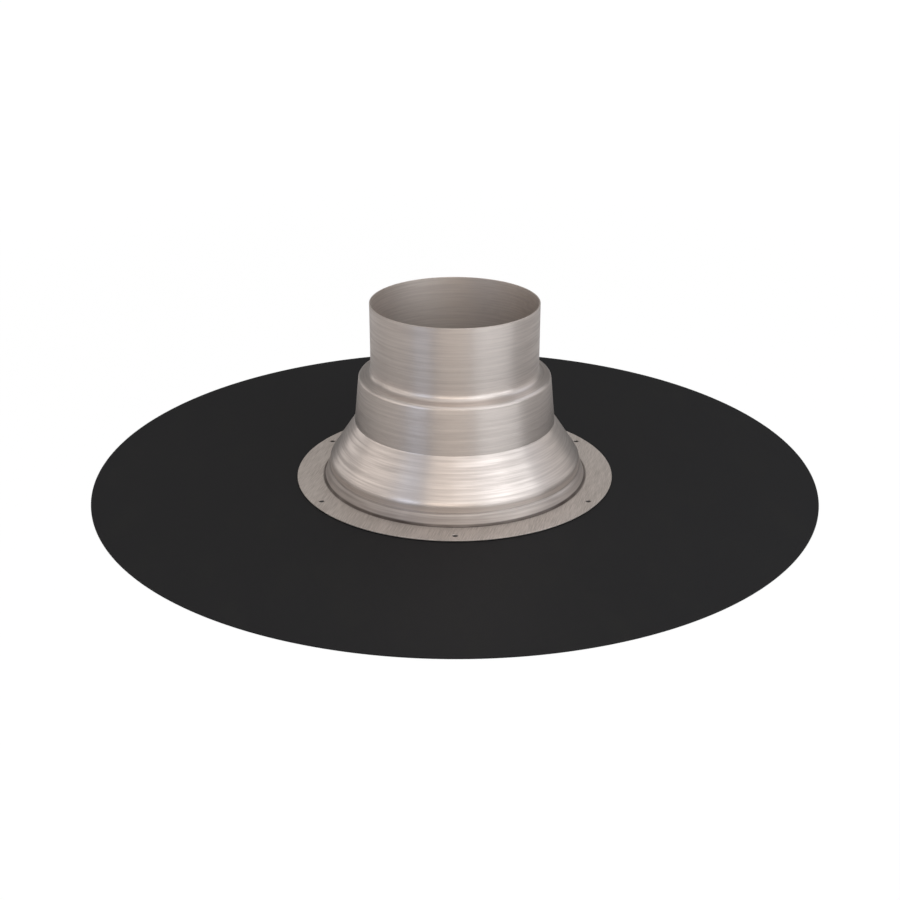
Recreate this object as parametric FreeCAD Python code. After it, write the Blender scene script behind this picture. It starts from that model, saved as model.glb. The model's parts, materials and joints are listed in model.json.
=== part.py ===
"""Flat-roof pipe flashing boot: a spun aluminium collar bonded onto a round EPDM skirt.

The row frame has +Z up along the pipe, with the origin at the centre of the skirt's underside, which is
the face that is glued to the roof. Lengths are in millimetres, and radii are measured from the pipe axis.

The collar is one sheet disc that is spun over a former. From the rim down it is a straight spigot, a
nearly flat shoulder, a tapered band, a flare that turns down into a knee, a small raised ledge and a flat
flange with screw holes. The skirt is a flat rubber ring under the flange, and a ring of butyl tape between
the two holds them together and keeps the water out.
"""

import FreeCAD, Part
import math
import os

OUT_DIR = "parts"

# Skirt, and the tape between it and the flange
SKIRT_DIA = 600.0
SKIRT_THICKNESS = 1.2
SKIRT_HOLE_DIA = 212.0
TAPE_THICKNESS = 0.5
TAPE_WIDTH = 20.0
TAPE_INSET = 1.5            # from the flange's edge in to the tape, all round

# Collar, by its outer surface
SHEET = 1.0                 # thickness of the aluminium
OVERALL_HEIGHT = 151.0
SPIGOT_DIA = 138.0
SHOULDER_DROP = 58.6        # rim to the foot of the spigot
SHOULDER_FALL = 2.6         # the shoulder's slope to the outside, so that water runs off
BAND_TOP_DIA = 158.0
BAND_FOOT_DIA = 165.5
BAND_HEIGHT = 39.0
FLARE_HEIGHT = 27.9
KNEE_DIA = 203.0
ROOT_DIA = 204.4
ROOT_HEIGHT = 8.2           # above the flange's top face, as are the two below
LEDGE_DIA = 213.0
LEDGE_HEIGHT = 6.3
STEP_FOOT_DIA = 218.0
FLANGE_DIA = 264.0

# Fillet radii on the outer surface where the sheet turns, from the rim down
SPIGOT_FILLET = 5.0
BAND_CORNER = 3.5
CREASE_FILLET = 1.0
KNEE_ROUND = 20.0
ROOT_FILLET = 1.2
LEDGE_CORNER = 1.8
STEP_FILLET = 0.8

# Screw holes in the flange
HOLE_COUNT = 6
HOLE_DIA = 4.5
HOLE_CIRCLE_DIA = 248.0

AXIS_POINT = FreeCAD.Vector(0, 0, 0)
UP = FreeCAD.Vector(0, 0, 1)


def rounded_path(corners):
    """Open wire in the XZ plane through (diameter, height, fillet radius) corners, each turned by an arc."""
    points = [FreeCAD.Vector(dia / 2, 0, height) for dia, height, _ in corners]
    edges = []
    start = points[0]
    for before, corner, after, (_, _, radius) in zip(points, points[1:], points[2:], corners[1:]):
        back = (before - corner).normalize()
        ahead = (after - corner).normalize()
        half_turn = (math.pi - back.getAngle(ahead)) / 2
        tangent_length = radius * math.tan(half_turn)
        to_arc_middle = radius / math.cos(half_turn) - radius
        arc_start = corner + back * tangent_length
        arc_middle = corner + (back + ahead).normalize() * to_arc_middle
        arc_end = corner + ahead * tangent_length
        edges.append(Part.LineSegment(start, arc_start).toShape())
        edges.append(Part.Arc(arc_start, arc_middle, arc_end).toShape())
        start = arc_end
    edges.append(Part.LineSegment(start, points[-1]).toShape())
    return Part.Wire(edges)


def flat_ring(outer_dia, inner_dia, bottom, thickness):
    """Flat ring on the pipe axis."""
    at = FreeCAD.Vector(0, 0, bottom)
    disc = Part.makeCylinder(outer_dia / 2, thickness, at)
    hole = Part.makeCylinder(inner_dia / 2, thickness, at)
    return disc.cut(hole)


def collar_profile(flange_top):
    """Outer surface of the spun collar from its rim to the flange's edge, as one open wire."""
    spigot_foot = OVERALL_HEIGHT - SHOULDER_DROP
    band_top = spigot_foot - SHOULDER_FALL
    crease = band_top - BAND_HEIGHT
    knee = crease - FLARE_HEIGHT
    return rounded_path([
        (SPIGOT_DIA, OVERALL_HEIGHT, 0),
        (SPIGOT_DIA, spigot_foot, SPIGOT_FILLET),
        (BAND_TOP_DIA, band_top, BAND_CORNER),
        (BAND_FOOT_DIA, crease, CREASE_FILLET),
        (KNEE_DIA, knee, KNEE_ROUND),
        (ROOT_DIA, flange_top + ROOT_HEIGHT, ROOT_FILLET),
        (LEDGE_DIA, flange_top + LEDGE_HEIGHT, LEDGE_CORNER),
        (STEP_FOOT_DIA, flange_top, STEP_FILLET),
        (FLANGE_DIA, flange_top, 0),
    ])


def spun_collar():
    """The collar: its wall is the profile thickened inwards by one sheet and turned about the pipe axis."""
    flange_top = SKIRT_THICKNESS + TAPE_THICKNESS + SHEET
    outer = collar_profile(flange_top)
    wall_section = outer.makeOffset2D(-SHEET, 0, True, True)
    collar = Part.makeSolid(Part.Shell(wall_section.revolve(AXIS_POINT, UP, 360).Faces))

    drill = Part.makeCylinder(
        HOLE_DIA / 2, 3 * SHEET, FreeCAD.Vector(0, -HOLE_CIRCLE_DIA / 2, flange_top - 2 * SHEET)
    )
    for index in range(HOLE_COUNT):
        turned = drill.copy()
        turned.rotate(AXIS_POINT, UP, index * 360 / HOLE_COUNT)
        collar = collar.cut(turned)
    return collar


def butyl_seal():
    """Ring of butyl tape between the flange and the skirt, set just inside the flange's edge."""
    outer_dia = FLANGE_DIA - 2 * TAPE_INSET
    return flat_ring(outer_dia, outer_dia - 2 * TAPE_WIDTH, SKIRT_THICKNESS, TAPE_THICKNESS)


def skirt_membrane():
    """Round EPDM sheet with the hole that the pipe and the hollow collar stand over."""
    return flat_ring(SKIRT_DIA, SKIRT_HOLE_DIA, 0, SKIRT_THICKNESS)


def main():
    """Write one STEP file for each piece."""
    os.makedirs(OUT_DIR, exist_ok=True)
    pieces = {
        "spun_collar": spun_collar(),
        "butyl_seal": butyl_seal(),
        "skirt_membrane": skirt_membrane(),
    }
    for name, shape in pieces.items():
        shape.exportStep(f"{OUT_DIR}/{name}.step")
        print(name, "valid", shape.isValid(), "solids", len(shape.Solids), "volume", round(shape.Volume, 1))


main()
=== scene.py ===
"""Dresses the pipe flashing: a spun aluminium collar, butyl tape and a round EPDM skirt.

Lengths are in metres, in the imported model's own frame: +Z up along the pipe, with the origin on the
underside of the skirt. Every surface is worked out as numpy arrays and put into a mesh in one go.
"""

import json
import logging
import math
from collections.abc import Sequence
from dataclasses import dataclass
from enum import Enum, IntEnum
from typing import Any, Union

import bpy
import numpy as np
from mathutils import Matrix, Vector


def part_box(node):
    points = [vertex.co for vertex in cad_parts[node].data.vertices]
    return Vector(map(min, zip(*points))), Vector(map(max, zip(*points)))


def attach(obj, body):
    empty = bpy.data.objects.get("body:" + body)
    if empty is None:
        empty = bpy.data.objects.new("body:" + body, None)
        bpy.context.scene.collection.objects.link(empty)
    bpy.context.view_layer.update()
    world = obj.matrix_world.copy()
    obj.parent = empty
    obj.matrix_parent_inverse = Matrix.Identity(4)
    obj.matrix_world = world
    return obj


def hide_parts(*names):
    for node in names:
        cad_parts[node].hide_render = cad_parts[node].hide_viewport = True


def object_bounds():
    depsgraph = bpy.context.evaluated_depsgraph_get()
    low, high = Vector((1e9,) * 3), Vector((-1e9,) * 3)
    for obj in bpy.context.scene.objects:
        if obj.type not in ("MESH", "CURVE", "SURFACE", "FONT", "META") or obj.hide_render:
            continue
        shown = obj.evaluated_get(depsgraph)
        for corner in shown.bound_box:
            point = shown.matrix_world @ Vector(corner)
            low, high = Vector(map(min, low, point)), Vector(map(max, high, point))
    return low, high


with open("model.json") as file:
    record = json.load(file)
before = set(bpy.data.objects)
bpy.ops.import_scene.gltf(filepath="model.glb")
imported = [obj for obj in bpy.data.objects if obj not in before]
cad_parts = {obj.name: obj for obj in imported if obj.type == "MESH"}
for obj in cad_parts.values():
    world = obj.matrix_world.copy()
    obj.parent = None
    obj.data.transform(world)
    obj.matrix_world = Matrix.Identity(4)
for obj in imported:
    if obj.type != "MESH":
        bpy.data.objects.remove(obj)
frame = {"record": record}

CAD_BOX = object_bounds()
MM = 0.001
BODY = "root"

logging.basicConfig(level=logging.INFO, format="%(name)s: %(message)s")
log = logging.getLogger("flashing")

Array = np.ndarray
Colour = tuple[float, float, float]
Number = Union["Socket", float]
Paint = Union["Socket", Colour]
Values = dict[Any, Any] | None


class Slot(Enum):
    """The record's material slots."""

    ALUMINIUM = "spun_aluminium"
    TAPE = "butyl_tape"
    RUBBER = "epdm_rubber"


# ------------------------------
# Shader graphs


@dataclass(frozen=True, eq=False)
class Socket:
    """An output of a shader node in a graph, with the arithmetic that the finishes use."""

    graph: "Graph"
    link: bpy.types.NodeSocket

    def _math(self, operation: str, *values: Number) -> "Socket":
        """Adds a Math node that works on these values."""
        inputs = dict(enumerate(values))
        return self.graph.node("ShaderNodeMath", {"operation": operation}, inputs)

    def __add__(self, other: Number) -> "Socket":
        """Sum."""
        return self._math("ADD", self, other)

    __radd__ = __add__

    def __sub__(self, other: Number) -> "Socket":
        """Difference."""
        return self._math("SUBTRACT", self, other)

    def __rsub__(self, other: Number) -> "Socket":
        """Difference, with this socket taken off the other value."""
        return self._math("SUBTRACT", other, self)

    def __mul__(self, other: Number) -> "Socket":
        """Product."""
        return self._math("MULTIPLY", self, other)

    __rmul__ = __mul__

    def __truediv__(self, other: Number) -> "Socket":
        """Quotient."""
        return self._math("DIVIDE", self, other)

    def __pow__(self, other: Number) -> "Socket":
        """Power."""
        return self._math("POWER", self, other)

    def cos(self) -> "Socket":
        """Cosine of an angle in radians."""
        return self._math("COSINE", self)

    def sin(self) -> "Socket":
        """Sine of an angle in radians."""
        return self._math("SINE", self)

    def larger(self, other: Number) -> "Socket":
        """The larger of the two values."""
        return self._math("MAXIMUM", self, other)

    def ramp(self, low: float, high: float) -> "Socket":
        """Smooth step from 0 at low to 1 at high."""
        settings = {"interpolation_type": "SMOOTHSTEP"}
        inputs = {"Value": self, "From Min": low, "From Max": high}
        return self.graph.node("ShaderNodeMapRange", settings, inputs)


@dataclass(frozen=True, eq=False)
class Graph:
    """The node tree of a material or a world, which ends in a node of the type end."""

    tree: bpy.types.NodeTree
    end: str = "ShaderNodeOutputMaterial"

    # Where the Mix node keeps its sockets for colours
    MIX_SHARE, MIX_FIRST, MIX_SECOND, MIX_RESULT = 0, 6, 7, 2

    def __post_init__(self) -> None:
        """Empties the tree, ready for new nodes."""
        self.tree.nodes.clear()

    def add(self, kind: str, settings: Values = None, inputs: Values = None) -> bpy.types.Node:
        """Adds a node of any type, sets it up and fills its inputs.

        Args:
            kind: The node's type, such as ShaderNodeTexNoise.
            settings: Properties of the node, set before its inputs are filled.
            inputs: Values or sockets by input name or number.

        Returns:
            The node.
        """
        made = self.tree.nodes.new(kind)
        for name, value in (settings or {}).items():
            setattr(made, name, value)
        for name, value in (inputs or {}).items():
            if isinstance(value, Socket):
                self.tree.links.new(value.link, made.inputs[name])
            else:
                made.inputs[name].default_value = value
        return made

    def node(
        self, kind: str, settings: Values = None, inputs: Values = None, output: int | str = 0,
    ) -> Socket:
        """Adds a node as add does, and returns the output with this name or number."""
        return Socket(self, self.add(kind, settings, inputs).outputs[output])

    def coordinates(self, name: str, turn: float = 0.0) -> Socket:
        """Texture coordinates, Object or UV, turned about Z by an angle in radians."""
        inputs = {"Vector": self.node("ShaderNodeTexCoord", output=name), "Rotation": (0, 0, turn)}
        return self.node("ShaderNodeMapping", None, inputs)

    def split(self, vector: Socket) -> tuple[Socket, ...]:
        """The three parts of a vector."""
        outputs = self.add("ShaderNodeSeparateXYZ", None, {"Vector": vector}).outputs
        return tuple(Socket(self, output) for output in outputs)

    def join(self, x: Number, y: Number, z: Number) -> Socket:
        """A vector made of three values."""
        return self.node("ShaderNodeCombineXYZ", None, {0: x, 1: y, 2: z})

    def noise(self, vector: Socket, detail: float, roughness: float = 0.5) -> Socket:
        """Noise from 0 to 1 about 0.5, with features one unit of the vector across."""
        inputs = {"Vector": vector, "Scale": 1.0, "Detail": detail, "Roughness": roughness}
        return self.node("ShaderNodeTexNoise", {"noise_dimensions": "3D"}, inputs)

    def blend(self, share: Number, first: Paint, second: Paint) -> Socket:
        """Mixes two colours: the first where share is 0, the second where it is 1."""
        inputs = {
            self.MIX_SHARE: share, self.MIX_FIRST: rgba(first), self.MIX_SECOND: rgba(second),
        }
        return self.node("ShaderNodeMix", {"data_type": "RGBA"}, inputs, self.MIX_RESULT)

    def from_ring(self, radius: float, height: float) -> Socket:
        """Distance from a circle round Z: the root of the squared gaps across and along Z."""
        x, y, z = self.split(self.coordinates("Object"))
        return (((x**2 + y**2) ** 0.5 - radius) ** 2 + (z - height) ** 2) ** 0.5

    def bump(self, height: Socket, depth: float, normal: Socket | None = None) -> Socket:
        """The normal, or else the surface's own, tilted by a relief of this height times depth."""
        relief = {"Height": height, "Distance": depth, "Strength": 1.0}
        return self.node("ShaderNodeBump", None, relief | ({"Normal": normal} if normal else {}))

    def surface(self, shader: Socket) -> None:
        """Ends the graph in this shader."""
        self.add(self.end, None, {"Surface": shader})


def rgba(value: Paint) -> Any:
    """A colour with an alpha of 1, or the socket that was given."""
    return value if isinstance(value, Socket) else (*value, 1.0)


def new_graph(name: str) -> tuple[bpy.types.Material, Graph]:
    """A new material and its empty graph."""
    material = bpy.data.materials.new(name)
    material.use_nodes = True
    return material, Graph(material.node_tree)


# ------------------------------
# Finishes


@dataclass(frozen=True)
class Speckle:
    """Noise over a piece's own coordinates.

    sizes are how large its features are along x, y and z. With a size of 0 along z, the noise is
    the same at every height, and layer picks a slice of it. turn turns the coordinates about Z.
    """

    sizes: tuple[float, float, float]
    detail: float = 1.0
    roughness: float = 0.5
    layer: float = 0.0
    turn: float = 0.0

    def value(self, graph: Graph) -> Socket:
        """Makes the noise.

        Args:
            graph: Where to make it.

        Returns:
            The noise, from 0 to 1.
        """
        x, y, z = graph.split(graph.coordinates("Object", self.turn))
        wide, deep, tall = self.sizes
        vector = graph.join(x / wide, y / deep, z / tall if tall else self.layer)
        return graph.noise(vector, self.detail, self.roughness)


@dataclass(frozen=True)
class Marks:
    """Lines round the axis.

    A line is about width high, and the larger turns is, the shorter it is. weight is its share of
    the colour, and depth how deep it is cut.
    """

    width: float
    turns: float
    detail: float
    weight: float
    depth: float = 0.0

    def value(self, graph: Graph) -> Socket:
        """Makes the lines as noise.

        Its vector is the unit circle's point at the angle round the axis, times turns, with the
        length along the wall over width as its third part.

        Args:
            graph: Where to make it.

        Returns:
            The noise, from 0 to 1.
        """
        around, along, _ = graph.split(graph.coordinates("UV"))
        angle = around * math.tau
        vector = graph.join(angle.cos() * self.turns, angle.sin() * self.turns, along / self.width)
        return graph.noise(vector, self.detail)


@dataclass(frozen=True)
class Crease:
    """A band of painted shade round the axis, darkening the colour along a crease or step.

    strength is how far it darkens the sheet, and dull how much roughness it adds at its darkest.
    It starts to fade at core's share of its reach, and patches leave from least to least + swing.
    """

    radius: float
    height: float
    reach: float
    strength: float
    dull: float = 0.0
    core: float = 0.3
    patch_size: float = 26 * MM
    least: float = 0.6
    swing: float = 0.8

    def shade(self, graph: Graph) -> Socket:
        """From about 1 at the line to 0 beyond its reach.

        Args:
            graph: Where to make it.

        Returns:
            The shade.
        """
        patches = Speckle((self.patch_size, self.patch_size, 0.0), layer=self.height / MM)
        distance = graph.from_ring(self.radius, self.height)
        fade = distance.ramp(self.reach * self.core, self.reach)
        return (1.0 - fade) * (self.least + patches.value(graph) * self.swing)


@dataclass(frozen=True)
class Finish:
    """A material between two colours, whose look its subclasses work out."""

    name: str
    light: Colour
    dark: Colour
    roughness: float
    roughness_swing: float

    def inputs(self, graph: Graph) -> dict[str, Any]:
        """The Principled shader's inputs."""
        raise NotImplementedError

    def material(self) -> bpy.types.Material:
        """Makes the material.

        Returns:
            The material.
        """
        material, graph = new_graph(self.name)
        graph.surface(graph.node("ShaderNodeBsdfPrincipled", None, self.inputs(graph)))
        return material


@dataclass(frozen=True)
class MetalFinish(Finish):
    """Bare aluminium, duller where it is dark, with painted shade darkening it along its creases.

    contrast is where its shade's marks turn fully dark and fully light.
    """

    contrast: tuple[float, float]
    creases: tuple[Crease, ...] = ()
    # The colour that the creases' painted shade darkens towards.
    painted_shade_colour: Colour = (0.10, 0.08, 0.07)

    def metal(self, graph: Graph, shade: Socket, normal: Socket) -> dict[str, Any]:
        """The inputs that all bare metal has.

        Args:
            graph: The finish's graph.
            shade: How light the metal is, before its contrast.
            normal: Its normal.

        Returns:
            The inputs.
        """
        shade = shade.ramp(*self.contrast)
        colour = graph.blend(shade, self.dark, self.light)
        roughness = self.roughness + (1 - shade) * self.roughness_swing
        # Painted shade: each crease darkens the colour, and adds roughness where dull is set.
        for crease in self.creases:
            painted_shade = crease.shade(graph)
            colour = graph.blend(painted_shade * crease.strength, colour, self.painted_shade_colour)
            roughness = roughness + painted_shade * crease.dull
        return {"Base Color": colour, "Metallic": 1.0, "Roughness": roughness, "Normal": normal}


@dataclass(frozen=True)
class SpunFinish(MetalFinish):
    """Aluminium off the spinning lathe, whose fine marks stretch every reflection."""

    name: str = "spun_aluminium_wall"
    light: Colour = (0.675, 0.612, 0.573)
    dark: Colour = (0.565, 0.51, 0.478)
    roughness: float = 0.33
    roughness_swing: float = 0.14
    contrast: tuple[float, float] = (0.34, 0.66)
    anisotropy: float = 0.75
    anisotropy_turn: float = 0.25
    marks: tuple[Marks, ...] = (
        Marks(width=1.7 * MM, turns=1.6, detail=1.5, weight=0.6, depth=0.003 * MM),
        Marks(width=0.6 * MM, turns=5.0, detail=1.0, weight=0.2, depth=0.001 * MM),
        Marks(width=6 * MM, turns=0.8, detail=1.0, weight=0.2),
    )

    def inputs(self, graph: Graph) -> dict[str, Any]:
        """The Principled shader's inputs."""
        values = [marks.value(graph) for marks in self.marks]
        shade = sum(value * marks.weight for value, marks in zip(values, self.marks))
        normal = None
        for value, marks in zip(values, self.marks):
            if marks.depth > 0:
                normal = graph.bump(value, marks.depth, normal)
        stretch = {"Anisotropic": self.anisotropy, "Anisotropic Rotation": self.anisotropy_turn}
        return self.metal(graph, shade, normal) | stretch


@dataclass(frozen=True)
class RolledFinish(MetalFinish):
    """Aluminium sheet as it left the mill: a straight, fine grain, kept where it wasn't spun."""

    name: str = "rolled_aluminium_flange"
    light: Colour = (0.60, 0.552, 0.518)
    dark: Colour = (0.455, 0.415, 0.385)
    roughness: float = 0.56
    roughness_swing: float = 0.10
    contrast: tuple[float, float] = (0.36, 0.64)
    grain: Speckle = Speckle((0.5 * MM, 14 * MM, 0.0), detail=2.0, turn=math.radians(14))
    grain_depth: float = 0.006 * MM
    cloud: Speckle = Speckle((12 * MM, 40 * MM, 0.0), layer=0.5, turn=math.radians(14))
    cloud_share: float = 0.3

    def inputs(self, graph: Graph) -> dict[str, Any]:
        """The Principled shader's inputs."""
        grain, cloud = self.grain.value(graph), self.cloud.value(graph)
        shade = grain * (1 - self.cloud_share) + cloud * self.cloud_share
        return self.metal(graph, shade, graph.bump(grain, self.grain_depth))


@dataclass(frozen=True)
class MembraneFinish(Finish):
    """Black EPDM sheet: matte, with a fine pebbled skin and faint traces of talc."""

    name: str = "epdm_membrane"
    light: Colour = (0.012, 0.012, 0.012)
    dark: Colour = (0.009, 0.009, 0.010)
    roughness: float = 0.62
    roughness_swing: float = 0.05
    specular: float = 0.16
    pebble: Speckle = Speckle((0.6 * MM, 0.6 * MM, 0.6 * MM))
    pebble_depth: float = 0.03 * MM
    talc: Speckle = Speckle((30 * MM, 75 * MM, 0.0), detail=4.0, roughness=0.6)
    talc_contrast: tuple[float, float] = (0.45, 0.8)

    def inputs(self, graph: Graph) -> dict[str, Any]:
        """The Principled shader's inputs."""
        talc = self.talc.value(graph).ramp(*self.talc_contrast)
        return {
            "Base Color": graph.blend(talc, self.dark, self.light),
            "Roughness": self.roughness + talc * self.roughness_swing,
            "Specular IOR Level": self.specular,
            "Normal": graph.bump(self.pebble.value(graph), self.pebble_depth),
        }


@dataclass(frozen=True)
class TapeFinish(Finish):
    """Black butyl tape: smooth and slightly wet-looking, with soft lumps."""

    name: str = "butyl_tape"
    light: Colour = (0.014, 0.014, 0.015)
    dark: Colour = (0.008, 0.008, 0.009)
    roughness: float = 0.30
    roughness_swing: float = 0.2
    lumps: Speckle = Speckle((4 * MM, 4 * MM, 1 * MM), detail=2.0)
    lump_depth: float = 0.1 * MM

    def inputs(self, graph: Graph) -> dict[str, Any]:
        """The Principled shader's inputs."""
        lumps = self.lumps.value(graph)
        return {
            "Base Color": graph.blend(lumps, self.dark, self.light),
            "Roughness": self.roughness + lumps * self.roughness_swing,
            "Normal": graph.bump(lumps, self.lump_depth),
        }


# ------------------------------
# Outlines, each point by its distance from the axis and its height, and surfaces of revolution

UP = np.array([0.0, 1.0])
OUT = np.array([1.0, 0.0])
EDGE_STEPS = 4


@dataclass(frozen=True)
class Corner:
    """A corner of a sheet's outline: its distance from the axis, its height and its bend's radius.

    steps is the number of steps on the run that ends here, where the pitch doesn't set it.
    """

    radius: float
    height: float
    bend: float = 0.0
    steps: int = 0


@dataclass(frozen=True)
class Outline:
    """Points along an outline, one row each, with the unit normals on its outer side."""

    points: Array
    normals: Array

    def lengths(self) -> Array:
        """Length along the outline at each point, and last of the loop back to the first one."""
        steps = np.linalg.norm(np.roll(self.points, -1, axis=0) - self.points, axis=1)
        return np.concatenate([[0.0], np.cumsum(steps)])


@dataclass(frozen=True)
class Surface:
    """The arrays of a mesh: a point and a normal by vertex, and four vertices and UVs by face."""

    points: Array
    normals: Array
    faces: Array
    uvs: Array

    def to_object(self, name: str) -> bpy.types.Object:
        """Puts the arrays into a new mesh object at the origin.

        Args:
            name: Name of the piece.

        Returns:
            The object, linked to the scene.
        """
        mesh = bpy.data.meshes.new(name)
        mesh.vertices.add(len(self.points))
        mesh.vertices.foreach_set("co", self.points.astype(np.float32).ravel())
        mesh.loops.add(self.faces.size)
        mesh.loops.foreach_set("vertex_index", self.faces.astype(np.int32).ravel())
        mesh.polygons.add(len(self.faces))
        starts = np.arange(0, self.faces.size, 4, dtype=np.int32)
        mesh.polygons.foreach_set("loop_start", starts)
        layer = mesh.uv_layers.new(name="wall")
        layer.data.foreach_set("uv", self.uvs.astype(np.float32).ravel())
        mesh.update(calc_edges=True)
        mesh.shade_smooth()
        mesh.normals_split_custom_set_from_vertices(self.normals)
        piece = bpy.data.objects.new(name, mesh)
        bpy.context.scene.collection.objects.link(piece)
        return piece


def turned(vector: Array, angles: Array) -> Array:
    """The plane vector turned anticlockwise by each angle, as one row each."""
    cos, sin = np.cos(angles), np.sin(angles)
    return np.stack([cos * vector[0] - sin * vector[1], sin * vector[0] + cos * vector[1]], axis=1)


def rounded_outline(corners: Sequence[Corner], pitch: float, bend_step: float) -> Outline:
    """Samples straight runs that are joined by arcs.

    At a corner with turn t and bend radius b, the arc leaves its run at b * tan(t / 2) before the
    corner and meets the next one as far after it. Its centre is b from the run's end, along the
    normal, and its points are that end turned about the centre.

    Args:
        corners: The corners in order. The first and last are the ends.
        pitch: Largest step along a straight run.
        bend_step: Largest step round an arc, in radians.

    Returns:
        The outline, whose normals are the heading turned anticlockwise by a right angle.
    """
    spots = np.array([[corner.radius, corner.height] for corner in corners])
    headings = np.diff(spots, axis=0)
    headings /= np.linalg.norm(headings, axis=1)[:, None]
    normals = np.stack([-headings[:, 1], headings[:, 0]], axis=1)
    cross = headings[:-1, 0] * headings[1:, 1] - headings[:-1, 1] * headings[1:, 0]
    turns = np.append(np.arctan2(cross, np.sum(headings[:-1] * headings[1:], axis=1)), 0.0)
    points, sides = [], []
    start = spots[0]
    for corner, spot, heading, normal, turn in zip(
        corners[1:], spots[1:], headings, normals, turns
    ):
        reach = corner.bend * math.tan(abs(turn) / 2)
        end = spot - heading * reach
        steps = corner.steps or math.ceil(np.linalg.norm(end - start) / pitch)
        points.append(np.linspace(start, end, steps + 1)[:-1])
        sides.append(np.tile(normal, (steps, 1)))
        start = end
        if reach > 0:
            angles = np.linspace(0.0, turn, math.ceil(abs(turn) / bend_step) + 1)
            arm = -normal * corner.bend * math.copysign(1.0, turn)
            arc = end - arm + turned(arm, angles)
            points.append(arc[:-1])
            sides.append(turned(normal, angles[:-1]))
            start = arc[-1]
    return Outline(np.vstack([*points, spots[-1]]), np.vstack([*sides, normals[-1]]))


def cut_edge(
    end: Array, normal: Array, heading: Array, thickness: float, rounding: float,
) -> Outline:
    """The cut end of a sheet, with both of its corners rounded.

    Each corner is a quarter circle of the rounding radius. The first goes from the outer side's
    normal to the heading, and the second from the heading to the inner side's normal.

    Args:
        end: The point on the outer side where the rounding starts.
        normal: Outer side's normal there.
        heading: Direction out of the sheet's end.
        thickness: The sheet's thickness.
        rounding: Radius of the corners.

    Returns:
        The edge's outline, from the outer side to the inner one.
    """
    angles = np.linspace(0.0, np.pi / 2, EDGE_STEPS + 1)[:, None]
    first = normal * np.cos(angles) + heading * np.sin(angles)
    second = heading * np.cos(angles) - normal * np.sin(angles)
    near = end - normal * rounding
    far = end - normal * (thickness - rounding)
    points = np.concatenate([near + first * rounding, far + second * rounding])
    return Outline(points, np.concatenate([first, second]))


def closed_section(outer: Outline, end: Outline, inner: Outline, start: Outline) -> Outline:
    """Joins a sheet's outlines, without the points that they share.

    Args:
        outer: Outer side.
        end: Cut end where the outer side stops.
        inner: Inner side, in the same direction.
        start: Cut end where both start.

    Returns:
        The closed section.
    """
    points = [outer.points[:-1], end.points, inner.points[-2:0:-1], start.points[:0:-1]]
    normals = [outer.normals[:-1], end.normals, -inner.normals[-2:0:-1], start.normals[:0:-1]]
    return Outline(np.concatenate(points), np.concatenate(normals))


def revolve(rows: Array, angles: Array) -> Array:
    """Turns an outline's rows about Z: x = r cos a, y = r sin a, z = h, for radius r and height h.

    Args:
        rows: One row of radius and height each.
        angles: The angles, in radians.

    Returns:
        One row of x, y, z for every row and angle, angle by angle within each row.
    """
    radius, height = rows[:, 0, None], rows[:, 1, None]
    tall = np.broadcast_to(height, (len(rows), len(angles)))
    grid = np.stack([radius * np.cos(angles), radius * np.sin(angles), tall], axis=2)
    return grid.reshape(-1, 3)


def strip_faces(ids: Array) -> Array:
    """Quads between the rows of a grid of vertex numbers, whose last column joins the first.

    Args:
        ids: The grid.

    Returns:
        Four vertex numbers for each face, whose front is on the side of row step cross column step.
    """
    beside = np.roll(ids, -1, axis=1)
    return np.stack([ids[:-1], ids[1:], beside[1:], beside[:-1]], axis=2).reshape(-1, 4)


def strip_uvs(lengths: Array, columns: int, start: float) -> Array:
    """UV corners for strip_faces: u is the angle as a share of a full turn, v the length.

    Args:
        lengths: Length along the outline at each row of the grid.
        columns: Number of columns.
        start: Angle of the first column, in radians.

    Returns:
        Four UV corners for each face.
    """
    around = start / math.tau + np.arange(columns + 1) / columns
    left, right = around[None, :-1], around[None, 1:]
    near, far = lengths[:-1, None], lengths[1:, None]
    corners = [(left, near), (left, far), (right, far), (right, near)]
    grids = [np.stack(np.broadcast_arrays(*corner), axis=2) for corner in corners]
    return np.stack(grids, axis=2).reshape(-1, 4, 2)


def plan_uvs(points: Array, faces: Array, offset: float) -> Array:
    """UV corners of level faces: u is the angle as a share of a full turn, v the radius and offset.

    Args:
        points: The mesh's points.
        faces: Four vertex numbers for each face.
        offset: What is added to the radius.

    Returns:
        Four UV corners for each face.
    """
    spots = points[faces]
    turn = np.arctan2(spots[:, :, 1], spots[:, :, 0]) / math.tau
    return np.stack([turn, np.hypot(spots[:, :, 0], spots[:, :, 1]) + offset], axis=2)


def turned_surface(section: Outline, columns: int, start: float = 0.0) -> Surface:
    """Turns a closed section about Z.

    Args:
        section: The section, whose last point is joined to its first.
        columns: Number of steps round the axis.
        start: Angle of the first column, in radians.

    Returns:
        The surface, with its vertices and faces row by row.
    """
    angles = start + math.tau * np.arange(columns) / columns
    points, normals = revolve(section.points, angles), revolve(section.normals, angles)
    ids = np.arange(len(points)).reshape(-1, columns)
    uvs = strip_uvs(section.lengths(), columns, start)
    return Surface(points, normals, strip_faces(np.vstack([ids, ids[:1]])), uvs)


# ------------------------------
# The pieces


def mount_sizes(name: str) -> dict[str, float]:
    """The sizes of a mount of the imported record, in millimetres."""
    return next(item["dims"] for item in frame["record"]["mounts"] if item["name"] == name)


def place(piece: bpy.types.Object, node: str) -> None:
    """Puts a piece on the body and hides the CAD node that it stands for.

    Args:
        piece: The piece.
        node: Name of the CAD node.
    """
    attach(piece, BODY)
    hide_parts(node)
    log.info("%s: %d faces, stands for %s", piece.name, len(piece.data.polygons), node)


class Zone(IntEnum):
    """The collar's parts, in the order of their materials."""

    WALL = 0
    FLANGE = 1
    INSIDE = 2


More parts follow.
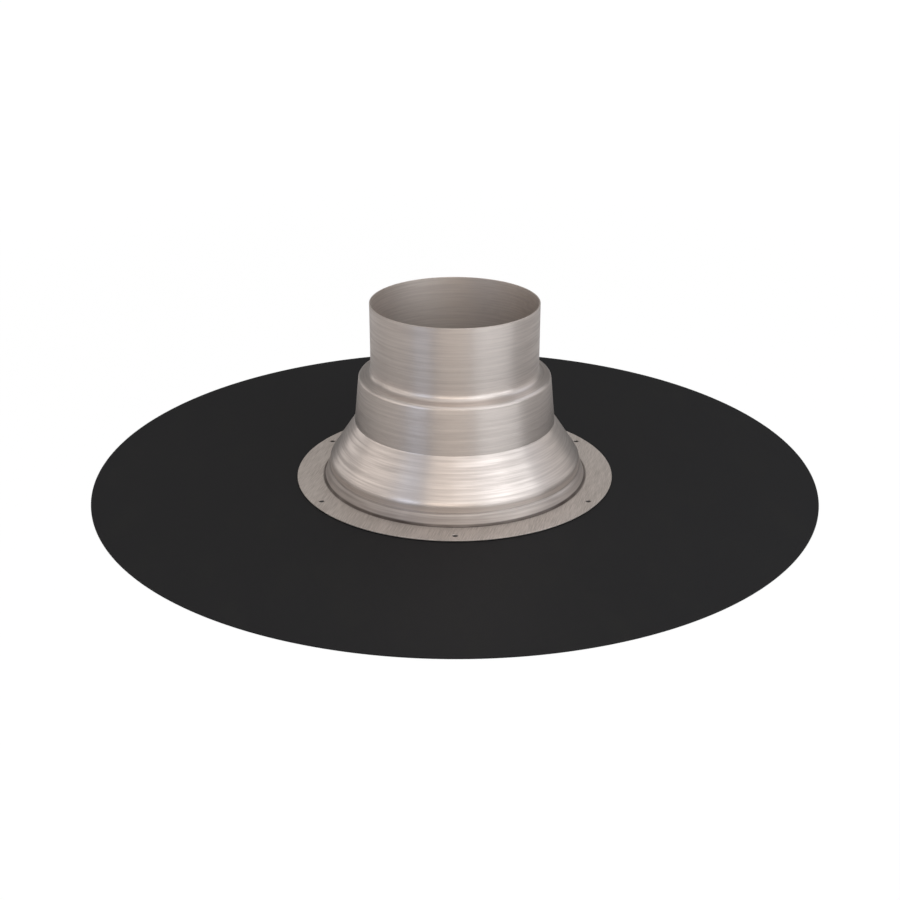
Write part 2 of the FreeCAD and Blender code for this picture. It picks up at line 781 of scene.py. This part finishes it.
@dataclass
class SpunCollar:
    """The aluminium collar, spun from one disc.

    Its outer side goes from the rim over spigot, shoulder, band, flare, knee and ledge to the
    flange. A size named after a corner is its distance from the axis, and root_height and
    ledge_height are measured from the flange's top.
    """

    shoulder_drop: float = 58.6 * MM
    shoulder_fall: float = 2.6 * MM
    band_top: float = 79.0 * MM
    band_foot: float = 82.75 * MM
    band_height: float = 39.0 * MM
    flare_height: float = 32.5 * MM
    knee: float = 104.5 * MM
    root: float = 104.0 * MM
    root_height: float = 8.6 * MM
    ledge: float = 106.8 * MM
    ledge_height: float = 6.3 * MM
    step_foot: float = 109.0 * MM

    spigot_bend: float = 5.0 * MM
    band_bend: float = 3.5 * MM
    crease_bend: float = 1.0 * MM
    knee_bend: float = 8.0 * MM
    root_bend: float = 1.2 * MM
    ledge_bend: float = 1.8 * MM
    step_bend: float = 0.8 * MM
    edge_rounding: float = 0.25 * MM

    columns: int = 264
    outer_pitch: float = 1.1 * MM
    inner_pitch: float = 3.0 * MM
    bend_step: float = math.radians(9)

    # The grid's blocks round the screw holes: half their width, their rows and their rings
    patch: float = 5.0 * MM
    patch_steps: int = 8
    hole_rounding: float = 0.2 * MM
    hole_steps: int = 3
    hole_rings: tuple[float, ...] = (0.45, 0.12)

    # The roller's ridges
    ridge_depth: float = 0.018 * MM
    ridge_count: int = 6
    ridge_pitches: tuple[float, float] = (3.0, 9.0)
    ridge_fade_in: float = 3 * MM
    ridge_fade_out: float = 6 * MM
    seed: int = 7

    def __post_init__(self) -> None:
        """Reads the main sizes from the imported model."""
        low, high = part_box("spun_collar")
        holes = mount_sizes("flange_holes")
        self.bottom, self.top, self.flange = low[2], high[2], high[0]
        self.spigot = mount_sizes("spigot_outside")["r_mm"] * MM
        self.sheet = self.spigot - mount_sizes("pipe_bore")["r_mm"] * MM
        self.flange_top = self.bottom + self.sheet
        self.hole_count = holes["count"]
        self.hole = holes["hole_r_mm"] * MM
        self.hole_circle = holes["pcd_mm"] * MM / 2
        self.start = -math.pi / 2 + math.pi / self.hole_count

    def outer_side(self, pitch: float) -> Outline:
        """The outer side from the rim to the flange's edge, less the rounding at both ends.

        Args:
            pitch: Largest step along a straight run.

        Returns:
            The outline.
        """
        spigot_foot = self.top - self.shoulder_drop
        band_top = spigot_foot - self.shoulder_fall
        crease = band_top - self.band_height
        corners = [
            Corner(self.spigot, self.top - self.edge_rounding),
            Corner(self.spigot, spigot_foot, self.spigot_bend),
            Corner(self.band_top, band_top, self.band_bend),
            Corner(self.band_foot, crease, self.crease_bend),
            Corner(self.knee, crease - self.flare_height, self.knee_bend),
            Corner(self.root, self.flange_top + self.root_height, self.root_bend),
            Corner(self.ledge, self.flange_top + self.ledge_height, self.ledge_bend),
            Corner(self.step_foot, self.flange_top, self.step_bend),
            Corner(self.hole_circle - self.patch, self.flange_top),
            Corner(self.hole_circle + self.patch, self.flange_top, steps=self.patch_steps),
            Corner(self.flange - self.edge_rounding, self.flange_top),
        ]
        return rounded_outline(corners, pitch, self.bend_step)

    def ridged(self, side: Outline) -> Outline:
        """Lifts the outer side by the shallow ridges that the spinning roller leaves.

        The height is a sum of sines of the length along the wall, with random pitches and phases.
        It fades in from the rim and out before the flange. The normal leans by the height's slope.

        Args:
            side: The outer side.

        Returns:
            The outer side with its ridges.
        """
        rng = np.random.default_rng(self.seed)
        length = side.lengths()[:-1]
        pitches = rng.uniform(*self.ridge_pitches, self.ridge_count) * MM
        phases = rng.uniform(0.0, math.tau, self.ridge_count)
        waves = np.sin(math.tau * length[:, None] / pitches + phases).sum(axis=1)
        waves /= math.sqrt(self.ridge_count)
        fade_out = np.clip((self.step_foot - side.points[:, 0]) / self.ridge_fade_out, 0, 1)
        fade_in = np.clip(length / self.ridge_fade_in, 0, 1)
        height = self.ridge_depth * waves * fade_out * fade_in
        slope = np.gradient(height, length)[:, None]
        heading = np.stack([side.normals[:, 1], -side.normals[:, 0]], axis=1)
        normals = side.normals - slope * heading
        normals /= np.linalg.norm(normals, axis=1)[:, None]
        return Outline(side.points + height[:, None] * side.normals, normals)

    def section(self) -> tuple[Outline, int]:
        """The wall's closed section, in the order outer side, flange edge, inner side, rim.

        The inner side is the outer one moved in by the sheet's thickness along its normals, and
        each end is a cut edge.

        Returns:
            The section, and the number of points on its outer side.
        """
        outer, inner = self.outer_side(self.outer_pitch), self.outer_side(self.inner_pitch)
        cut = (self.sheet, self.edge_rounding)
        edge = cut_edge(outer.points[-1], outer.normals[-1], OUT, *cut)
        rim = cut_edge(outer.points[0], outer.normals[0], UP, *cut)
        inner = Outline(inner.points - self.sheet * inner.normals, inner.normals)
        return closed_section(self.ridged(outer), edge, inner, rim), len(outer.points)

    def hole_wall(self, offsets: Array, centre: Array) -> tuple[Array, Array]:
        """The rings of points between the two borders round one hole.

        Every border point keeps its direction d from the hole's centre c. The rings are at
        c + d * reach. They follow the sheet's top in to the hole, round its edge by quarter turns,
        down its wall and back out underneath.

        Args:
            offsets: The border points, measured from the centre.
            centre: The hole's centre.

        Returns:
            The points and their normals, ring by ring.
        """
        distance = np.linalg.norm(offsets, axis=1)
        direction = offsets / distance[:, None]
        share = np.array([*self.hole_rings, *np.zeros(self.hole_steps + 1)])[:, None]
        turn = np.linspace(0.0, math.pi / 2, self.hole_steps + 1)
        turn = np.array([*np.zeros(len(self.hole_rings)), *turn])
        near = self.hole + self.hole_rounding * (1 - np.sin(turn))[:, None]
        drop = self.hole_rounding * (1 - np.cos(turn))
        reach = near + (distance - near) * share

        reach = np.concatenate([reach, reach[::-1]])[:, :, None]
        height = np.concatenate([self.flange_top - drop, self.bottom + drop[::-1]])
        lean_in = np.sin([*turn, *turn[::-1]])[:, None, None]
        lean_up = np.concatenate([np.cos(turn), -np.cos(turn[::-1])])[:, None, None]
        ones = np.ones_like(reach)
        plan = centre + reach * direction
        points = np.concatenate([plan, height[:, None, None] * ones], axis=2)
        normals = np.concatenate([-direction * lean_in, lean_up * ones], axis=2)
        return points.reshape(-1, 3), normals.reshape(-1, 3)

    def open_holes(
        self, surface: Surface, section: Outline, outer_rows: int,
    ) -> tuple[Surface, int]:
        """Opens the screw holes.

        Round each hole a block of the grid is left out, on the top and underneath, and a round
        strip of faces joins the two blocks' borders through the hole.

        Args:
            surface: The turned section.
            section: The section itself.
            outer_rows: Number of rows on its outer side.

        Returns:
            The surface with its holes, and the number of faces on the outer side, which come first.
        """
        ids = np.arange(len(surface.points)).reshape(-1, self.columns)
        keep = np.ones(ids.shape, bool)
        radius = section.points[:, 0]
        away = radius - self.hole_circle
        top = int(np.argmin(np.abs(away[:outer_rows] + self.patch)))
        under = outer_rows + int(np.argmin(np.abs(away[outer_rows:] - self.patch)))
        half = round(self.patch / self.hole_circle * self.columns / math.tau)

        points, normals, strips = [surface.points], [surface.normals], []
        count = len(surface.points)
        for hole in range(self.hole_count):
            middle = self.columns * (2 * hole + 1) // (2 * self.hole_count)
            for row in (top, under):
                keep[row:row + self.patch_steps, middle - half:middle + half] = False
            span = slice(middle - half, middle + half + 1)
            above = block_border(ids[top:top + self.patch_steps + 1, span])
            below = block_border(ids[under:under + self.patch_steps + 1, span][::-1])
            angle = self.start + math.tau * middle / self.columns
            centre = self.hole_circle * np.array([math.cos(angle), math.sin(angle)])
            wall, leans = self.hole_wall(surface.points[above, :2] - centre, centre)
            rings = count + np.arange(len(wall)).reshape(-1, len(above))
            points.append(wall)
            normals.append(leans)
            strips.append(strip_faces(np.vstack([above, rings, below])))
            count += len(wall)

        all_points, all_strips = np.concatenate(points), np.concatenate(strips)
        hole_uvs = plan_uvs(all_points, all_strips, section.lengths()[top] - radius[top])
        faces = np.concatenate([surface.faces[keep.ravel()], all_strips])
        uvs = np.concatenate([surface.uvs[keep.ravel()], hole_uvs])
        opened = Surface(all_points, np.concatenate(normals), faces, uvs)
        return opened, int(keep[:outer_rows].sum())

    def dress(self, piece: bpy.types.Object, surface: Surface, outer_faces: int) -> None:
        """Gives every zone its finish, with painted shade at the step's foot, along the root line and
        over the ledge.

        Args:
            piece: The collar.
            surface: Its arrays.
            outer_faces: Number of faces on the outer side, which come first.
        """
        # Painted shade: darker colour at the step's foot on wall and flange, along the root line and
        # over the ledge, which is also made rougher.
        foot = Crease(self.step_foot, self.flange_top + 0.3 * MM, reach=2.2 * MM, strength=0.85)
        root = Crease(self.root, self.flange_top + self.root_height, reach=1.3 * MM, strength=0.3)
        ledge = Crease(
            self.step_foot, self.flange_top + self.ledge_height * 0.8,
            reach=9.0 * MM, strength=0.2, dull=0.25,
        )
        # Painted shade on the inside: the wall's finish made darker, and also rougher and less
        # stretched.
        inside = SpunFinish(
            name="spun_aluminium_inside_painted_shade", light=(0.60, 0.545, 0.505), dark=(0.52, 0.467, 0.435),
            roughness=0.5, anisotropy=0.4,
        )
        wall, flange = SpunFinish(creases=(foot, root, ledge)), RolledFinish(creases=(foot,))
        for finish in (wall, flange, inside):
            piece.data.materials.append(finish.material())
        middles = surface.points[surface.faces].mean(axis=1)
        on_flange = np.hypot(middles[:, 0], middles[:, 1]) > self.step_foot
        outside = np.arange(len(surface.faces)) < outer_faces
        index = np.select([on_flange, outside], [Zone.FLANGE, Zone.WALL], Zone.INSIDE)
        piece.data.polygons.foreach_set("material_index", index.astype(np.int32))

    def build(self) -> None:
        """Makes the collar: the section turned about the axis, with its screw holes opened."""
        section, outer_rows = self.section()
        surface = turned_surface(section, self.columns, self.start)
        surface, outer_faces = self.open_holes(surface, section, outer_rows)
        piece = surface.to_object("collar_shell")
        self.dress(piece, surface, outer_faces)
        place(piece, "spun_collar")


def block_border(block: Array) -> Array:
    """The vertex numbers once round the border of a block of them."""
    return np.concatenate([block[0, :-1], block[:-1, -1], block[-1, :0:-1], block[:0:-1, 0]])


@dataclass
class FlatRing:
    """A flat ring with rounded edges, which has its outer sizes from the CAD node it stands for."""

    name: str
    node: str
    slot: Slot
    finish: Finish
    hole: float
    rounding: float
    columns: int
    pitch: float

    def __post_init__(self) -> None:
        """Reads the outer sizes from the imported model."""
        low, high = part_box(self.node)
        self.low, self.high, self.outer = low[2], high[2], (high[0] - low[0]) / 2

    def section(self) -> Outline:
        """The ring's closed section.

        Returns:
            The section, in the order top, outer edge, underside, inner edge.
        """
        tall = self.high - self.low
        start = np.array([self.hole + self.rounding, self.high])
        end = np.array([self.outer - self.rounding, self.high])
        steps = math.ceil((end[0] - start[0]) / self.pitch)
        top = Outline(np.linspace(start, end, steps + 1), np.tile(UP, (steps + 1, 1)))
        under = Outline(top.points - UP * tall, top.normals)
        outside = cut_edge(end, UP, OUT, tall, self.rounding)
        inside = cut_edge(start, UP, -OUT, tall, self.rounding)
        return closed_section(top, outside, under, inside)

    def shaped(self, surface: Surface) -> Surface:
        """The flat ring's surface in its final shape, which here is flat too."""
        return surface

    def build(self) -> bpy.types.Object:
        """Makes the ring.

        Returns:
            The piece.
        """
        surface = turned_surface(self.section(), self.columns)
        piece = self.shaped(surface).to_object(self.name)
        piece.data.materials.append(self.finish.material())
        place(piece, self.node)
        return piece


@dataclass
class ButylTape(FlatRing):
    """The tape between flange and skirt, pressed flat, with a soft outer edge."""

    name: str = "tape_ring"
    node: str = "butyl_seal"
    slot: Slot = Slot.TAPE
    finish: Finish = TapeFinish()
    hole: float = 110.5 * MM
    rounding: float = 0.2 * MM
    columns: int = 240
    pitch: float = 5.0 * MM


@dataclass
class MembraneSkirt(FlatRing):
    """The round EPDM skirt: a flat sheet that lies on the roof, with a hole for the pipe.

    Outside the clamped radius it stands off the roof by up to stand_off.
    """

    name: str = "membrane_skirt"
    node: str = "skirt_membrane"
    slot: Slot = Slot.RUBBER
    finish: Finish = MembraneFinish()
    hole: float = 106.0 * MM
    rounding: float = 0.3 * MM
    columns: int = 360
    pitch: float = 4.0 * MM
    stand_off: float = 0.25 * MM
    clamped: float = 150.0 * MM
    wave_count: int = 5
    wave_rate: float = 20.0
    slope_step: float = 0.5 * MM
    seed: int = 3

    def __post_init__(self) -> None:
        """Reads the outer sizes and draws the waves."""
        super().__post_init__()
        rng = np.random.default_rng(self.seed)
        self.rates = rng.uniform(-self.wave_rate, self.wave_rate, (self.wave_count, 2))
        self.phases = rng.uniform(0.0, math.tau, self.wave_count)

    def height(self, x: Array, y: Array) -> Array:
        """How far the sheet stands off the roof.

        The height is stand_off * w * w, where w is a mean of sines of x and y, times a ramp that
        is 0 inside the clamped radius and rises to 1 at the outside.

        Args:
            x: East of each point.
            y: North of each point.

        Returns:
            The heights.
        """
        angles = np.outer(x, self.rates[:, 0]) + np.outer(y, self.rates[:, 1]) + self.phases
        share = np.clip((np.hypot(x, y) - self.clamped) / (self.outer - self.clamped), 0, 1)
        return self.stand_off * np.sin(angles).mean(axis=1)**2 * share

    def shaped(self, surface: Surface) -> Surface:
        """Lifts the flat sheet by its height, whose slopes are its differences over a short step.

        Args:
            surface: The flat sheet.

        Returns:
            The lifted sheet. Its normals lean by the slopes.
        """
        points, normals, step = surface.points.copy(), surface.normals.copy(), self.slope_step
        x, y, _ = surface.points.T
        here = self.height(x, y)
        points[:, 2] += here
        normals[:, 0] -= (self.height(x + step, y) - here) / step * normals[:, 2]
        normals[:, 1] -= (self.height(x, y + step) - here) / step * normals[:, 2]
        normals /= np.linalg.norm(normals, axis=1)[:, None]
        return Surface(points, normals, surface.faces, surface.uvs)

    def build(self) -> bpy.types.Object:
        """Returns:
            The piece.
        """
        piece = super().build()
        math.pi * (self.outer**2 - self.hole**2)
        return piece


# ------------------------------
# Studio


class Tint(Enum):
    """The colours of the soft boxes' light."""

    AMBER = (1.09, 0.985, 0.88)
    WARM = (1.05, 0.99, 0.94)
    FAINT_WARM = (1.03, 0.99, 0.96)
    WHITE = (0.97, 1.0, 1.03)
    FAINT_BLUE = (0.94, 0.99, 1.10)
    BLUE = (0.89, 0.99, 1.19)


@dataclass(frozen=True)
class SoftBox:
    """A soft box that faces the object.

    azimuth is the direction that it stands in, in degrees from the camera's side towards +X, and
    elevation is how far up, in degrees. brightness is how bright its front is, where 1 is white.
    """

    name: str
    azimuth: float
    elevation: float
    width: float
    height: float
    brightness: float
    tint: Tint
    distance: float = 1.5

    def build(self, target: Vector) -> None:
        """Makes the lamp, whose power is its brightness times pi times its area.

        Args:
            target: The point that it faces.
        """
        light = bpy.data.lights.new(self.name, "AREA")
        light.shape = "RECTANGLE"
        light.size, light.size_y = self.width, self.height
        light.energy = self.brightness * math.pi * self.width * self.height
        light.color = self.tint.value
        lamp = bpy.data.objects.new(self.name, light)
        bpy.context.scene.collection.objects.link(lamp)
        around, up = math.radians(self.azimuth), math.radians(self.elevation)
        level = math.cos(up)
        away = Vector((math.sin(around) * level, -math.cos(around) * level, math.sin(up)))
        lamp.location = target + away * self.distance
        lamp.rotation_euler = away.to_track_quat("Z", "Y").to_euler()


@dataclass
class Studio:
    """White floor, white surroundings, soft boxes and the camera.

    The floor glows where it is seen, a little more far out, where the boxes light it less. As a
    source of light the surroundings have world_strength, and in reflections mirrored.
    """

    floor_size: float = 10.0
    floor_depth: float = 0.2 * MM
    floor_colour: Colour = (0.60, 0.60, 0.60)
    glow_share: float = 0.95
    glow_near: Colour = (1.03, 1.03, 1.03)
    glow_far: Colour = (1.08, 1.08, 1.08)
    glow_reach: tuple[float, float] = (0.5, 2.5)
    world_strength: float = 0.13
    mirrored: float = 0.12
    camera_distance: float = 1.13274
    camera_height: float = 0.50866
    camera_aside: float = -3.9 * MM
    camera_pitch: float = math.radians(23.30)
    lens: float = 58.75
    boxes: tuple[SoftBox, ...] = (
        SoftBox("key_box", 51, 16, 1.55, 0.80, 2.55, Tint.WHITE),
        SoftBox("key_high_box", 31, 43, 1.20, 0.50, 1.65, Tint.WHITE),
        SoftBox("front_box", -3, 16, 1.25, 0.80, 1.45, Tint.AMBER),
        SoftBox("front_high_box", -12, 43, 0.70, 0.60, 0.68, Tint.WARM),
        SoftBox("cool_box", -42, 14, 0.60, 0.80, 1.40, Tint.BLUE),
        SoftBox("left_box", -80, 15, 1.35, 0.75, 1.05, Tint.WARM),
        SoftBox("left_high_box", -80, 42, 1.20, 0.55, 0.52, Tint.FAINT_WARM),
        SoftBox("left_low_box", -121, 8, 0.90, 0.40, 0.95, Tint.FAINT_WARM),
        SoftBox("right_box", 108, 15, 1.30, 0.75, 0.50, Tint.FAINT_WARM),
        SoftBox("right_high_box", 112, 38, 1.15, 0.60, 0.95, Tint.FAINT_BLUE),
        SoftBox("top_box", 0, 86, 1.60, 1.60, 0.75, Tint.FAINT_WARM),
        SoftBox("back_box", 180, 52, 1.30, 0.70, 0.90, Tint.WARM),
    )

    def seen(self, graph: Graph) -> Socket:
        """Where the white surroundings show.

        Args:
            graph: Where to make it.

        Returns:
            1 for rays that see them, straight or through glass, and mirrored for reflections.
        """
        camera = graph.node("ShaderNodeLightPath", output="Is Camera Ray")
        glossy = graph.node("ShaderNodeLightPath", output="Is Glossy Ray")
        clear = graph.node("ShaderNodeLightPath", output="Is Transmission Ray")
        return camera.larger(clear).larger(glossy * self.mirrored)

    def build_floor(self) -> None:
        """Makes the floor: white where it is seen, with the object's soft shadow on it."""
        half = self.floor_size / 2
        plan = [(-half, -half), (half, -half), (half, half), (-half, half)]
        mesh = bpy.data.meshes.new("floor")
        mesh.from_pydata([(x, y, -self.floor_depth) for x, y in plan], [], [(0, 1, 2, 3)])
        floor = bpy.data.objects.new("floor", mesh)
        bpy.context.scene.collection.objects.link(floor)
        material, graph = new_graph("white_floor")
        matte = graph.node("ShaderNodeBsdfDiffuse", None, {"Color": rgba(self.floor_colour)})
        x, y, _ = graph.split(graph.coordinates("Object"))
        unlit = ((x**2 + y**2) ** 0.5).ramp(*self.glow_reach)
        glow = graph.blend(unlit, self.glow_near, self.glow_far)
        white = graph.node("ShaderNodeEmission", None, {"Color": glow})
        share = self.seen(graph) * self.glow_share
        graph.surface(graph.node("ShaderNodeMixShader", None, {0: share, 1: matte, 2: white}))
        mesh.materials.append(material)

    def build_world(self) -> None:
        """Makes the surroundings: white where they are seen, softer as a source of light."""
        world = bpy.data.worlds.new("studio_white")
        world.use_nodes = True
        bpy.context.scene.world = world
        graph = Graph(world.node_tree, "ShaderNodeOutputWorld")
        strength = self.world_strength + self.seen(graph) * (1.0 - self.world_strength)
        background = {"Color": (1.0, 1.0, 1.0, 1.0), "Strength": strength}
        graph.surface(graph.node("ShaderNodeBackground", None, background))

    def build_camera(self) -> None:
        """Makes the camera, in front of the object and above it, looking down at it."""
        camera = bpy.data.objects.new("camera", bpy.data.cameras.new("camera"))
        bpy.context.scene.collection.objects.link(camera)
        camera.data.lens = self.lens
        camera.location = (self.camera_aside, -self.camera_distance, self.camera_height)
        camera.rotation_euler = (math.pi / 2 - self.camera_pitch, 0.0, 0.0)
        bpy.context.scene.camera = camera

    def build(self) -> None:
        """Makes the floor, the world, the lamps and the camera."""
        self.build_floor()
        self.build_world()
        middle = Vector((0.0, 0.0, (CAD_BOX[0][2] + CAD_BOX[1][2]) / 2))
        for box in self.boxes:
            box.build(middle)
        self.build_camera()
        bpy.context.scene.view_settings.view_transform = "Standard"
        log.info("studio: %d soft boxes", len(self.boxes))


def main() -> None:
    """Builds every piece and the studio."""
    MembraneSkirt().build()
    ButylTape().build()
    SpunCollar().build()
    Studio().build()


if __name__ == "__main__":
    main()
